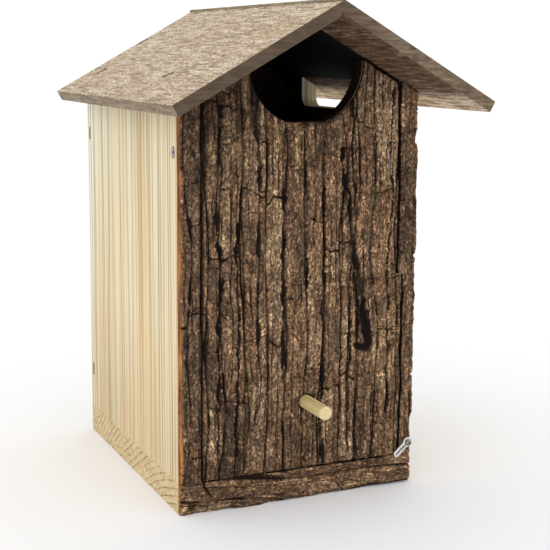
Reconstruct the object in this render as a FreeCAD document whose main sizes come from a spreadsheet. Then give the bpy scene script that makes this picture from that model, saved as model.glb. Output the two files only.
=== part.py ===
import FreeCAD, Part
import Sketcher
import os
from math import cos, radians, sin

# Wooden nest box with a gable roof and a bark-covered front that swings out on two screws.
# Frame: origin at the middle of the floor board's underside, +X to the right as seen from the
# front, +Y towards the back, +Z up. Lengths are in millimetres.

DIMENSIONS = {
    "box_width": 186,            # over the outer faces of the two side boards
    "box_depth": 219,            # front edge to back edge of the side boards
    "side_height": 295,          # top of a side board's outer face above the ground
    "board_thickness": 14,
    "floor_thickness": 22,
    "bark_thickness": 8,
    "roof_slope": 0.5635,        # rise over run
    "roof_thickness": 8.5,
    "front_overhang": 64,        # roof ahead of the side boards' front edges
    "eave_overhang": 24.5,       # along the slope, past the side board's outer face
    "ridge_lap": 2,              # the right panel runs this far past the middle
    "left_strip_width": 15.6,    # bark strip fixed to the left side board's front edge
    "seam_gap": 0.8,             # between the door's bark and the fixed bark
    "door_side_gap": 0.6,
    "door_top_gap": 2.6,
    "door_floor_gap": 0.8,
    "lap_width": 3.5,            # door bark in front of the right side board's edge
    "lap_top": 160,
    "lap_gap": 1.5,
    "cutter_rise": 80,           # openings are cut past the top of every board
    "entrance_radius": 44.5,
    "entrance_centre": 3.5,
    "entrance_height": 316.5,    # of the middle of the entrance's curve
    "entrance_flat": 15.5,         # half the width of the entrance's flat bottom
    "exit_width": 91,
    "exit_radius": 8,
    "exit_centre": 11,
    "exit_bottom": 278.5,
    "pivot_height": 255.5,
    "pivot_setback": 7,          # behind the side boards' front edges
    "pivot_radius": 2,
    "pivot_clearance": 0.05,
    "pivot_bite": 22,            # length of screw inside the door board
    "pivot_head_radius": 3.7,
    "pivot_head_thickness": 2.6,
    "pivot_head_recess": 0.5,
    "counterbore_radius": 4.3,
    "counterbore_depth": 3.2,
    "recess_width": 1.1,         # cross recess in the screw heads
    "recess_depth": 1.2,
    "recess_span": 1.1,          # length of a recess arm over the head's radius
    "head_taper": 0.8,           # radius under a screw's head over its radius on top
    "peg_radius": 5,
    "peg_centre": 4,
    "peg_height": 72.5,
    "peg_reach": 29,             # ahead of the bark
    "peg_socket": 12,            # blind hole in the door board
    "peg_round": 1.2,
    "peg_rim": 1,                # edges this near the peg's front are its rim
    "hanging_radius": 3,
    "hanging_height": 262,
    "latch_x": 87,
    "latch_height": 33,
    "latch_wire_radius": 1.1,
    "latch_play": 0.06,          # between the ring and the screw it turns on
    "latch_reach": 14,
    "latch_spread": 1.5,        # half the distance between the arm's two wires
    "latch_clearance": 0.1,      # ahead of the bark, and under the screw's head
    "latch_shank_radius": 1.6,
    "latch_head_radius": 2.6,
    "latch_head_thickness": 1.6,
    "latch_screw_length": 24,
    "staple_crown": 10,
    "staple_wire": 1.2,
    "roof_staple_leg": 13,       # short enough to end inside the side board
    "side_staple_leg": 18,
    "staple_proud": 0.4,
    "nail_radius": 1.25,
    "nail_head_radius": 3,
    "nail_head_thickness": 1,
    "nail_length": 48,
    "pin_radius": 0.7,
    "pin_head_radius": 1.3,
    "pin_head_thickness": 0.6,
    "pin_length": 20,
}
LATCH_ANGLE = 222  # of the arm as seen from the front, anticlockwise from +X

XY_PLANE, XZ_PLANE, YZ_PLANE = "XY_Plane", "XZ_Plane", "YZ_Plane"
HALF_TURN = "180"
ORIGIN_POINT = (-1, 1)
LINE_START, LINE_END, CIRCLE_CENTRE = 1, 2, 3

doc = FreeCAD.newDocument("nest_box")
sheet = doc.addObject("Spreadsheet::Sheet", "Dim")
for row, (word, size) in enumerate(DIMENSIONS.items(), start=1):
    sheet.set(f"A{row}", word)
    sheet.set(f"B{row}", str(size))
    sheet.setAlias(f"B{row}", word)
doc.recompute()

# Expressions that several pieces share
FRONT = "(-Dim.box_depth / 2)"
BACK = "(Dim.box_depth / 2)"
OUTER = "(Dim.box_width / 2)"
INNER = "(Dim.box_width / 2 - Dim.board_thickness)"
BARK_FACE = "(-Dim.box_depth / 2 - Dim.bark_thickness)"
FLOOR_TOP = "Dim.floor_thickness"
STRETCH = "sqrt(1 + Dim.roof_slope ^ 2)"   # length along the slope over its run
PEAK = "(Dim.side_height + Dim.box_width / 2 * Dim.roof_slope)"
DOOR_LEFT = "(-Dim.box_width / 2 + Dim.left_strip_width + Dim.seam_gap)"
DOOR_RIGHT = f"({INNER} - Dim.door_side_gap)"
DOOR_BOTTOM = "(Dim.floor_thickness + Dim.door_floor_gap)"
PIVOT_Y = f"({FRONT} + Dim.pivot_setback)"
LATCH_RING = "(Dim.latch_shank_radius + Dim.latch_play + Dim.latch_wire_radius)"
LATCH_Y = f"({BARK_FACE} - Dim.latch_clearance - Dim.latch_wire_radius)"


def value(expression):
    """Number that an expression on the sheet stands for."""
    result = sheet.evalExpression(expression)
    return float(getattr(result, "Value", result))


def roof_over(x):
    """Height of the roof's underside at x, an expression for a place on either slope."""
    return f"({PEAK} - abs({x}) * Dim.roof_slope)"


# ---------------------------------------------------------------- PartDesign helpers

def new_body(label):
    body = doc.addObject("PartDesign::Body", label)
    body.Label = label
    return body


def new_sketch(body, plane, offset="0"):
    """Sketch on one of the body's own origin planes, moved along the plane's normal."""
    sketch = body.newObject("Sketcher::SketchObject", body.Name + "_sketch")
    support = [feature for feature in body.Origin.OriginFeatures if feature.Role == plane][0]
    sketch.AttachmentSupport = [(support, "")]
    sketch.MapMode = "FlatFace"
    sketch.setExpression(".AttachmentOffset.Base.z", offset)
    return sketch


def bind(sketch, kind, first, second, expression):
    """Horizontal or vertical distance from the origin to a vertex, tied to the sheet."""
    index = sketch.addConstraint(Sketcher.Constraint(kind, *first, *second, value(expression)))
    sketch.setExpression(f"Constraints[{index}]", expression)


def draw(sketch, points):
    """Closed outline. Each point is (u, v) or (u, v, centre_u, centre_v, radius) where an
    anticlockwise arc about that centre leads to the next point."""
    places = [(value(point[0]), value(point[1])) for point in points]
    edges = []
    for index, point in enumerate(points):
        start = FreeCAD.Vector(*places[index], 0)
        end = FreeCAD.Vector(*places[(index + 1) % len(points)], 0)
        if len(point) == 2:
            edges.append(sketch.addGeometry(Part.LineSegment(start, end)))
        else:
            centre = FreeCAD.Vector(value(point[2]), value(point[3]), 0)
            middle = centre + ((start + end) * 0.5 - centre).normalize() * value(point[4])
            edge = sketch.addGeometry(Part.Arc(start, middle, end))
            edges.append(edge)
            radius = sketch.addConstraint(Sketcher.Constraint("Radius", edge, value(point[4])))
            sketch.setExpression(f"Constraints[{radius}]", point[4])
    for index, edge in enumerate(edges):
        following = edges[(index + 1) % len(edges)]
        sketch.addConstraint(Sketcher.Constraint("Coincident", edge, LINE_END, following, LINE_START))
        bind(sketch, "DistanceX", ORIGIN_POINT, (edge, LINE_START), points[index][0])
        bind(sketch, "DistanceY", ORIGIN_POINT, (edge, LINE_START), points[index][1])


def prism(label, points, front=FRONT, back=BACK):
    """Outline in X and Z, padded from y = front to y = back."""
    body = new_body(label)
    sketch = new_sketch(body, XZ_PLANE, f"-({front})")
    draw(sketch, points)
    pad = body.newObject("PartDesign::Pad", label + "_pad")
    pad.Profile = sketch
    pad.setExpression("Length", f"({back}) - ({front})")
    pad.Reversed = True
    doc.recompute()
    return body


def cut_through(body, sketch):
    """Pocket through all of the body, both ways from the sketch."""
    before = body.Shape.Volume
    pocket = body.newObject("PartDesign::Pocket", body.Name + "_pocket")
    pocket.Profile = sketch
    pocket.Type = "ThroughAll"
    pocket.Midplane = True
    doc.recompute()
    if not body.Shape.Volume < before:
        raise RuntimeError(f"{pocket.Name} removed nothing")


def cut_blind(body, sketch, depth, along_normal):
    """Pocket of the given depth from the sketch, along its normal or against it."""
    before = body.Shape.Volume
    pocket = body.newObject("PartDesign::Pocket", body.Name + "_pocket")
    pocket.Profile = sketch
    pocket.setExpression("Length", depth)
    pocket.Reversed = along_normal
    doc.recompute()
    if not body.Shape.Volume < before:
        raise RuntimeError(f"{pocket.Name} removed nothing")


def circle(body, plane, offset, u, v, radius):
    sketch = new_sketch(body, plane, offset)
    centre = FreeCAD.Vector(value(u), value(v), 0)
    edge = sketch.addGeometry(Part.Circle(centre, FreeCAD.Vector(0, 0, 1), value(radius)))
    index = sketch.addConstraint(Sketcher.Constraint("Radius", edge, value(radius)))
    sketch.setExpression(f"Constraints[{index}]", radius)
    bind(sketch, "DistanceX", ORIGIN_POINT, (edge, CIRCLE_CENTRE), u)
    bind(sketch, "DistanceY", ORIGIN_POINT, (edge, CIRCLE_CENTRE), v)
    return sketch


def cut_entrance(body):
    """Half-round opening with a short flat bottom, open at the top."""
    centre, height, radius = "Dim.entrance_centre", "Dim.entrance_height", "Dim.entrance_radius"
    left, right = f"({centre} - {radius})", f"({centre} + {radius})"
    top = f"({height} + Dim.cutter_rise)"
    bottom = f"({height} - sqrt({radius} ^ 2 - Dim.entrance_flat ^ 2))"
    sketch = new_sketch(body, XZ_PLANE)
    draw(sketch, [
        (left, top),
        (left, height, centre, height, radius),
        (f"({centre} - Dim.entrance_flat)", bottom),
        (f"({centre} + Dim.entrance_flat)", bottom, centre, height, radius),
        (right, height),
        (right, top),
    ])
    cut_through(body, sketch)


def cut_exit(body):
    """Wide opening with a flat bottom and small round corners, open at the top."""
    front, back = "(Dim.exit_centre - Dim.exit_width / 2)", "(Dim.exit_centre + Dim.exit_width / 2)"
    top = "(Dim.exit_bottom + Dim.cutter_rise)"
    shoulder = "(Dim.exit_bottom + Dim.exit_radius)"
    flat_front, flat_back = f"({front} + Dim.exit_radius)", f"({back} - Dim.exit_radius)"
    sketch = new_sketch(body, YZ_PLANE)
    draw(sketch, [
        (front, top),
        (front, shoulder, flat_front, shoulder, "Dim.exit_radius"),
        (flat_front, "Dim.exit_bottom"),
        (flat_back, "Dim.exit_bottom", flat_back, shoulder, "Dim.exit_radius"),
        (back, shoulder),
        (back, top),
    ])
    cut_through(body, sketch)


# ---------------------------------------------------------------- Part helpers

def solid(kind, name, **sizes):
    """Part primitive whose sizes are expressions on the sheet."""
    shape = doc.addObject(kind, name)
    for size, expression in sizes.items():
        shape.setExpression(size, expression)
    return shape


def move(shape, x="0", y="0", z="0", rotation=None):
    if rotation is not None:
        shape.Placement = FreeCAD.Placement(FreeCAD.Vector(), rotation)
    for axis, expression in (("x", x), ("y", y), ("z", z)):
        shape.setExpression(f"Placement.Base.{axis}", expression)
    return shape


def join(label, shapes, kind="Part::MultiFuse"):
    joined = doc.addObject(kind, label)
    joined.Label = label
    if kind == "Part::Compound":
        joined.Links = shapes
    else:
        joined.Shapes = shapes
    doc.recompute()
    return joined


def turned(z_axis, x_axis):
    """Rotation that takes +Z to z_axis and +X to x_axis."""
    z_axis = FreeCAD.Vector(*z_axis)
    x_axis = FreeCAD.Vector(*x_axis)
    return FreeCAD.Rotation(x_axis, z_axis.cross(x_axis), z_axis, "ZXY")


def screw(label, shank_radius, length, head_radius, head_thickness):
    """Pan-head screw along +Z with the head's underside at z = 0."""
    taper = f"({shank_radius} * 2)"
    shank = solid("Part::Cylinder", label + "_shank", Radius=shank_radius,
                  Height=f"{length} - {taper}")
    tip = solid("Part::Cone", label + "_tip", Radius1=shank_radius, Radius2=f"{shank_radius} / 5",
                Height=taper)
    move(tip, z=f"{length} - {taper}")
    head = solid("Part::Cone", label + "_head", Radius1=f"{head_radius} * Dim.head_taper",
                 Radius2=head_radius, Height=head_thickness)
    move(head, z=f"-{head_thickness}")
    blank = join(label + "_blank", [shank, tip, head])
    slots = []
    for index in range(2):
        slot = solid("Part::Box", f"{label}_slot{index}", Length=f"{head_radius} * Dim.recess_span",
                     Width="Dim.recess_width", Height="Dim.recess_depth")
        half_length = f"{head_radius} * Dim.recess_span / 2"
        if index:
            quarter = FreeCAD.Rotation(FreeCAD.Vector(0, 0, 1), 90)
            move(slot, "Dim.recess_width / 2", f"-{half_length}", f"-{head_thickness}", quarter)
        else:
            move(slot, f"-{half_length}", "-Dim.recess_width / 2", f"-{head_thickness}")
        slots.append(slot)
    recess = join(label + "_recess", slots)
    finished = doc.addObject("Part::Cut", label)
    finished.Label = label
    finished.Base = blank
    finished.Tool = recess
    return finished


def nail(name, radius, head_radius, head_thickness, length):
    """Flat-head nail along +Z with the top of its head at z = 0."""
    shank = solid("Part::Cylinder", name + "_shank", Radius=radius, Height=length)
    head = solid("Part::Cylinder", name + "_head", Radius=head_radius, Height=head_thickness)
    return join(name, [shank, head])


def staple(name, leg_length):
    """Wire staple with its crown along X, just proud of z = 0, and its legs down."""
    crown = solid("Part::Box", name + "_crown", Length="Dim.staple_crown",
                  Width="Dim.staple_wire", Height="Dim.staple_wire")
    move(crown, "-Dim.staple_crown / 2", "-Dim.staple_wire / 2",
         "Dim.staple_proud - Dim.staple_wire")
    legs = []
    for index, x in enumerate(("-Dim.staple_crown / 2",
                               "Dim.staple_crown / 2 - Dim.staple_wire")):
        leg = solid("Part::Box", f"{name}_leg{index}", Length="Dim.staple_wire",
                    Width="Dim.staple_wire", Height=leg_length)
        move(leg, x, "-Dim.staple_wire / 2", f"Dim.staple_proud - {leg_length}")
        legs.append(leg)
    return join(name, [crown] + legs)


def group(label, pieces):
    return join(label, pieces, "Part::Compound")


nodes = []

# ---------------------------------------------------------------- box

floor = prism("floor_board", [
    (f"-{OUTER}", "0"), (OUTER, "0"), (OUTER, FLOOR_TOP), (f"-{OUTER}", FLOOR_TOP),
])
nodes.append(floor)

side_boards = {}
for name, sign in (("left", "-1"), ("right", "1")):
    board = prism(f"{name}_side_board", [
        (f"{sign} * {INNER}", FLOOR_TOP),
        (f"{sign} * {OUTER}", FLOOR_TOP),
        (f"{sign} * {OUTER}", roof_over(OUTER)),
        (f"{sign} * {INNER}", roof_over(INNER)),
    ])
    cut_through(board, circle(board, YZ_PLANE, "0", PIVOT_Y, "Dim.pivot_height",
                              "Dim.pivot_radius + Dim.pivot_clearance"))
    counterbore = circle(board, YZ_PLANE, f"{sign} * {OUTER}", PIVOT_Y, "Dim.pivot_height",
                         "Dim.counterbore_radius")
    cut_blind(board, counterbore, "Dim.counterbore_depth", along_normal=name == "left")
    side_boards[name] = board
    nodes.append(board)
cut_exit(side_boards["right"])

back_board = prism("back_board", [
    (f"-{INNER}", FLOOR_TOP), (INNER, FLOOR_TOP), (INNER, roof_over(INNER)),
    ("0", PEAK), (f"-{INNER}", roof_over(INNER)),
], front=f"{BACK} - Dim.board_thickness")
cut_through(back_board, circle(back_board, XZ_PLANE, "0", "0", "Dim.hanging_height",
                               "Dim.hanging_radius"))
nodes.append(back_board)

# ---------------------------------------------------------------- roof

EAVE_X = f"({OUTER} + Dim.eave_overhang / {STRETCH})"
EAVE_Z = f"(Dim.side_height - Dim.eave_overhang * Dim.roof_slope / {STRETCH})"
EAVE_TOP_X = f"({EAVE_X} + Dim.roof_thickness * Dim.roof_slope / {STRETCH})"
EAVE_TOP_Z = f"({EAVE_Z} + Dim.roof_thickness / {STRETCH})"
PLUMB = f"(Dim.roof_thickness * {STRETCH})"
LAP_DROP = "(Dim.ridge_lap * Dim.roof_slope)"
for name, sign, ridge in (("left", "-1", f"({PEAK} - {LAP_DROP})"),
                          ("right", "1", f"({PEAK} + {LAP_DROP})")):
    nodes.append(prism(f"roof_panel_{name}", [
        ("-Dim.ridge_lap", ridge),
        (f"{sign} * {EAVE_X}", EAVE_Z),
        (f"{sign} * {EAVE_TOP_X}", EAVE_TOP_Z),
        ("-Dim.ridge_lap", f"{ridge} + {PLUMB}"),
    ], front=f"{FRONT} - Dim.front_overhang"))

# ---------------------------------------------------------------- fixed bark

LEFT_SEAM = f"(-{OUTER} + Dim.left_strip_width)"
LAP_SEAM = f"({INNER} + Dim.lap_width + Dim.seam_gap)"
LAP_SHELF = "(Dim.lap_top + Dim.lap_gap)"
nodes.append(prism("left_edge_bark", [
    (f"-{OUTER}", FLOOR_TOP), (LEFT_SEAM, FLOOR_TOP),
    (LEFT_SEAM, roof_over(LEFT_SEAM)), (f"-{OUTER}", roof_over(OUTER)),
], front=BARK_FACE, back=FRONT))
nodes.append(prism("right_edge_bark", [
    (LAP_SEAM, FLOOR_TOP), (OUTER, FLOOR_TOP), (OUTER, roof_over(OUTER)),
    (INNER, roof_over(INNER)), (INNER, LAP_SHELF), (LAP_SEAM, LAP_SHELF),
], front=BARK_FACE, back=FRONT))
nodes.append(prism("base_bark", [
    (f"-{OUTER}", "0"), (OUTER, "0"), (OUTER, FLOOR_TOP), (f"-{OUTER}", FLOOR_TOP),
], front=BARK_FACE, back=FRONT))

# ---------------------------------------------------------------- door

door_board = prism("door_board", [
    (DOOR_LEFT, DOOR_BOTTOM), (DOOR_RIGHT, DOOR_BOTTOM),
    (DOOR_RIGHT, f"{roof_over(DOOR_RIGHT)} - Dim.door_top_gap"),
    ("0", f"{PEAK} - Dim.door_top_gap"),
    (DOOR_LEFT, f"{roof_over(DOOR_LEFT)} - Dim.door_top_gap"),
], back=f"{FRONT} + Dim.board_thickness")
cut_entrance(door_board)
socket = circle(door_board, XZ_PLANE, f"-{FRONT}", "Dim.peg_centre", "Dim.peg_height",
                "Dim.peg_radius")
cut_blind(door_board, socket, "Dim.peg_socket", along_normal=False)
for edge, along_normal in ((DOOR_LEFT, True), (DOOR_RIGHT, False)):
    pilot = circle(door_board, YZ_PLANE, edge, PIVOT_Y, "Dim.pivot_height", "Dim.pivot_radius")
    cut_blind(door_board, pilot, "Dim.pivot_bite", along_normal)
nodes.append(door_board)

LAP_RIGHT = f"({INNER} + Dim.lap_width)"
door_bark = prism("door_bark", [
    (DOOR_LEFT, DOOR_BOTTOM), (LAP_RIGHT, DOOR_BOTTOM), (LAP_RIGHT, "Dim.lap_top"),
    (DOOR_RIGHT, "Dim.lap_top"),
    (DOOR_RIGHT, f"{roof_over(DOOR_RIGHT)} - Dim.door_top_gap"),
    ("0", f"{PEAK} - Dim.door_top_gap"),
    (DOOR_LEFT, f"{roof_over(DOOR_LEFT)} - Dim.door_top_gap"),
], front=BARK_FACE, back=FRONT)
cut_entrance(door_bark)
cut_through(door_bark, circle(door_bark, XZ_PLANE, "0", "Dim.peg_centre", "Dim.peg_height",
                              "Dim.peg_radius"))
nodes.append(door_bark)

peg = new_body("peg")
peg_sketch = circle(peg, XZ_PLANE, f"-({BARK_FACE} - Dim.peg_reach)", "Dim.peg_centre",
                    "Dim.peg_height", "Dim.peg_radius")
peg_pad = peg.newObject("PartDesign::Pad", "peg_pad")
peg_pad.Profile = peg_sketch
peg_pad.setExpression("Length", "Dim.peg_reach + Dim.bark_thickness + Dim.peg_socket")
peg_pad.Reversed = True
doc.recompute()
rim_limit = value(f"{BARK_FACE} - Dim.peg_reach + Dim.peg_rim")
rim = [f"Edge{number}" for number, edge in enumerate(peg_pad.Shape.Edges, start=1)
       if edge.BoundBox.YMax < rim_limit]
peg_fillet = peg.newObject("PartDesign::Fillet", "peg_fillet")
peg_fillet.Base = (peg_pad, rim)
peg_fillet.setExpression("Radius", "Dim.peg_round")
nodes.append(peg)

# ---------------------------------------------------------------- pivot screws

for name, sign, direction, edge in (("left", "-1", 1, DOOR_LEFT), ("right", "1", -1, DOOR_RIGHT)):
    head_base = f"({OUTER} - Dim.pivot_head_recess - Dim.pivot_head_thickness)"
    length = f"({head_base} - abs({edge}) + Dim.pivot_bite)"
    pivot = screw(f"pivot_screw_{name}", "Dim.pivot_radius", length, "Dim.pivot_head_radius",
                  "Dim.pivot_head_thickness")
    move(pivot, f"{sign} * {head_base}", PIVOT_Y, "Dim.pivot_height",
         turned((direction, 0, 0), (0, 1, 0)))
    nodes.append(pivot)

# ---------------------------------------------------------------- latch

ring = solid("Part::Torus", "latch_ring", Radius1=LATCH_RING, Radius2="Dim.latch_wire_radius")
latch_pieces = [ring]
for index, side in enumerate(("-1", "1")):
    wire = solid("Part::Cylinder", f"latch_wire{index}", Radius="Dim.latch_wire_radius",
                 Height=f"Dim.latch_reach - {LATCH_RING} - Dim.latch_spread")
    move(wire, LATCH_RING, f"{side} * Dim.latch_spread", "0",
         turned((1, 0, 0), (0, 1, 0)))
    latch_pieces.append(wire)
bend = solid("Part::Torus", "latch_bend", Radius1="Dim.latch_spread",
             Radius2="Dim.latch_wire_radius", Angle3=HALF_TURN)
move(bend, "Dim.latch_reach - Dim.latch_spread", "0", "0", turned((0, 0, 1), (0, -1, 0)))
latch_pieces.append(bend)
latch_hook = join("latch_hook", latch_pieces)
arm_direction = (cos(radians(LATCH_ANGLE)), 0, sin(radians(LATCH_ANGLE)))
move(latch_hook, "Dim.latch_x", LATCH_Y, "Dim.latch_height", turned((0, -1, 0), arm_direction))
nodes.append(latch_hook)

latch_screw = screw("latch_screw", "Dim.latch_shank_radius", "Dim.latch_screw_length",
                    "Dim.latch_head_radius", "Dim.latch_head_thickness")
move(latch_screw, "Dim.latch_x", f"{LATCH_Y} - Dim.latch_wire_radius - Dim.latch_clearance",
     "Dim.latch_height", turned((0, 1, 0), (1, 0, 0)))
nodes.append(latch_screw)

# ---------------------------------------------------------------- staples

# Places on the left slope as (distance from the middle, behind the boards' front edge).
ROOF_STAPLES = ((88.5, 28), (88.5, 189), (46, 212))
SIDE_STAPLE_HEIGHTS = (256, 55)
for name, side in (("left", -1), ("right", 1)):
    slope = FreeCAD.Vector(side * value(f"1 / {STRETCH}"), 0, -value(f"Dim.roof_slope / {STRETCH}"))
    normal = FreeCAD.Vector(side * value(f"Dim.roof_slope / {STRETCH}"), 0, value(f"1 / {STRETCH}"))
    crown = (slope + FreeCAD.Vector(0, 1, 0)).normalize()
    pieces = []
    for index, (across, behind) in enumerate(ROOF_STAPLES):
        piece = staple(f"roof_staple_{name}{index}", "Dim.roof_staple_leg")
        move(piece, f"{side * across}", f"{FRONT} + {behind}", f"{roof_over(str(across))} + {PLUMB}",
             turned(tuple(normal), tuple(crown)))
        pieces.append(piece)
    nodes.append(group(f"roof_staples_{name}", pieces))
    pieces = []
    for index, height in enumerate(SIDE_STAPLE_HEIGHTS):
        piece = staple(f"side_staple_{name}{index}", "Dim.side_staple_leg")
        move(piece, f"{side} * {OUTER}", f"{BACK} - Dim.board_thickness / 2", str(height),
             turned((side, 0, 0), (0, 0, 1)))
        pieces.append(piece)
    nodes.append(group(f"side_staples_{name}", pieces))

# ---------------------------------------------------------------- nails and pins

def nails(label, places, z_axis, sizes):
    """Group of nails along z_axis, one at each (x, y, z) of expressions."""
    x_axis = (0, 0, 1) if z_axis[1] else (1, 0, 0)
    pieces = []
    for index, place in enumerate(places):
        piece = nail(f"{label}_{index}", *sizes)
        move(piece, *place, turned(z_axis, x_axis))
        pieces.append(piece)
    nodes.append(group(label, pieces))


NAIL = ("Dim.nail_radius", "Dim.nail_head_radius", "Dim.nail_head_thickness", "Dim.nail_length")
PIN = ("Dim.pin_radius", "Dim.pin_head_radius", "Dim.pin_head_thickness", "Dim.pin_length")
BOARD_MIDDLE = f"({OUTER} - Dim.board_thickness / 2)"
FLOOR_NAIL_Y = ("-55", "55")
FLOOR_NAIL_X = ("-45", "45")
DOOR_PIN_X = ("-60", "62")
DOOR_PIN_Z = ("50", "140", "230")
LEFT_PIN_X, LEFT_PIN_Z = "-86", ("60", "150", "240")
RIGHT_PIN_X, RIGHT_PIN_Z = "88.5", ("75", "160", "245")
BASE_PIN_X, BASE_PIN_Z = ("-75", "-25", "25", "75"), "11"
floor_places = [(f"{side} * {BOARD_MIDDLE}", y, "0") for side in (-1, 1) for y in FLOOR_NAIL_Y]
floor_places += [(x, f"{BACK} - Dim.board_thickness / 2", "0") for x in FLOOR_NAIL_X]
nails("floor_nails", floor_places, (0, 0, 1), NAIL)
door_back = f"{FRONT} + Dim.board_thickness"
nails("door_bark_pins", [(x, door_back, z) for x in DOOR_PIN_X for z in DOOR_PIN_Z],
      (0, -1, 0), PIN)
nails("left_edge_pins", [(LEFT_PIN_X, BARK_FACE, z) for z in LEFT_PIN_Z], (0, 1, 0), PIN)
nails("right_edge_pins", [(RIGHT_PIN_X, BARK_FACE, z) for z in RIGHT_PIN_Z], (0, 1, 0), PIN)
nails("base_bark_pins", [(x, BARK_FACE, BASE_PIN_Z) for x in BASE_PIN_X], (0, 1, 0), PIN)

# ---------------------------------------------------------------- checks and export

doc.recompute()
for thing in doc.Objects:
    if {"Invalid", "Error"} & set(thing.State):
        raise RuntimeError(f"{thing.Label} failed: {thing.State}")
for node in nodes:
    if node.Shape.isNull() or not node.Shape.isValid():
        raise RuntimeError(f"{node.Label} has no valid shape")

os.makedirs("parts", exist_ok=True)
for node in nodes:
    node.Shape.exportStep(os.path.join("parts", node.Label + ".step"))
    box = node.Shape.BoundBox
    print(f"{node.Label:20s} solids {len(node.Shape.Solids)} volume {node.Shape.Volume:10.1f}  "
          f"x {box.XMin:8.2f} {box.XMax:8.2f}  y {box.YMin:8.2f} {box.YMax:8.2f}  "
          f"z {box.ZMin:8.2f} {box.ZMax:8.2f}")
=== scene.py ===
"""Looks of the bark-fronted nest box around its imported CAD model. Metres, in the CAD frame:
origin at the middle of the floor board's underside, +X right, +Y back, +Z up."""

import math

import bmesh
import bpy
import numpy as np
from mathutils import Matrix, Vector


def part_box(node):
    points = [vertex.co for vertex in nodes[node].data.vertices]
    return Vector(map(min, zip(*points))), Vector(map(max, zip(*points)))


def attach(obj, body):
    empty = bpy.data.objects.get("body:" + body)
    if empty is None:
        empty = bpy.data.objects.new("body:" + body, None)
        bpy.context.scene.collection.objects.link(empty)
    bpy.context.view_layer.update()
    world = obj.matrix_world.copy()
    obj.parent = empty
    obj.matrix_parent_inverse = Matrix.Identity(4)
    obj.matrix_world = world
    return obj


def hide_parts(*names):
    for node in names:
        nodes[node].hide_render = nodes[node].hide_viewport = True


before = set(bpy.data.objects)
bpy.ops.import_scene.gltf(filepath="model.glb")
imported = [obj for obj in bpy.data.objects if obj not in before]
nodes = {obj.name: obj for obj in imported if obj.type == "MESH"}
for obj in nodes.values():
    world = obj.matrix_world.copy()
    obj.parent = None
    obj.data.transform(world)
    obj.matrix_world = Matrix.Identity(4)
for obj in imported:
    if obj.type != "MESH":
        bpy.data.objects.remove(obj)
scene = bpy.context.scene
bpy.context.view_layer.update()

MM = 0.001
WHITE = (1.0, 1.0, 1.0)


# ---------------------------------------------------------------- small helpers

def rgb(red, green, blue):
    """Linear colour from 0 to 255 display values."""
    shares = (red / 255, green / 255, blue / 255)
    return tuple(c / 12.92 if c <= 0.04045 else ((c + 0.055) / 1.055) ** 2.4 for c in shares)


def smooth(low, high, x):
    """0 at low or less, 1 at high or more, with a soft ramp between."""
    t = np.clip((x - low) / (high - low), 0, 1)
    return t * t * (3 - 2 * t)


def hashed(i, j, seed):
    """Repeatable random number from 0 to 1 for each pair of whole numbers."""
    n = (i.astype(np.int64) * 374761393 + j.astype(np.int64) * 668265263 + seed * 982451653)
    n = n & 0xFFFFFFFF
    n = ((n ^ (n >> 13)) * 1274126177) & 0xFFFFFFFF
    return ((n ^ (n >> 16)) & 0xFFFFFF) / 0xFFFFFF


def noise(u, v, seed):
    """Smooth value noise, 0 to 1, with a period of 1 in u and v."""
    i, j = np.floor(u), np.floor(v)
    a, b = u - i, v - j
    a, b = a * a * (3 - 2 * a), b * b * (3 - 2 * b)
    low = hashed(i, j, seed) * (1 - a) + hashed(i + 1, j, seed) * a
    high = hashed(i, j + 1, seed) * (1 - a) + hashed(i + 1, j + 1, seed) * a
    return low * (1 - b) + high * b


def fractal(u, v, seed, octaves=3):
    total = 0
    for octave in range(octaves):
        total = total + noise(u * 2 ** octave, v * 2 ** octave, seed + octave) / 2 ** octave
    return total / (2 - 2 ** (1 - octaves))


def cells(u, v, seed):
    """Irregular cells: how far a point is from its cell's border, and the cell's own number."""
    i, j = np.floor(u), np.floor(v)
    nearest = np.full(u.shape, 9.0)
    second = np.full(u.shape, 9.0)
    own = np.zeros(u.shape)
    for di in (-1, 0, 1):
        for dj in (-1, 0, 1):
            ci, cj = i + di, j + dj
            cu = ci + 0.1 + 0.8 * hashed(ci, cj, seed)
            cv = cj + 0.1 + 0.8 * hashed(ci, cj, seed + 7)
            gap = np.hypot(u - cu, v - cv)
            number = hashed(ci, cj, seed + 13)
            closer = gap < nearest
            second = np.where(closer, nearest, np.minimum(second, gap))
            own = np.where(closer, number, own)
            nearest = np.where(closer, gap, nearest)
    return second - nearest, own


def strips(x, z, width, length, seed):
    """Upright strips broken across into pieces. Distance to the piece's side and to its end, and
    the piece's own number."""
    u = x / width
    i = np.floor(u)
    nearest = np.full(u.shape, 9.0)
    second = np.full(u.shape, 9.0)
    own = np.zeros(u.shape)
    for di in (-1, 0, 1):
        c = i + di
        centre = c + 0.5 + 0.6 * (hashed(c, c * 0, seed) - 0.5)
        centre = centre + 0.6 * (noise(z / length * 1.7, c * 7.3, seed + 1) - 0.5)
        gap = np.abs(u - centre)
        closer = gap < nearest
        second = np.where(closer, nearest, np.minimum(second, gap))
        own = np.where(closer, c, own)
        nearest = np.where(closer, gap, nearest)
    v = z / length + 9 * hashed(own, own * 0, seed + 2)
    j = np.floor(v)
    end = np.minimum(v - j, j + 1 - v) * length
    return (second - nearest) * width / 2, end, hashed(own, j, seed + 3)


# ---------------------------------------------------------------- material helpers

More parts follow.
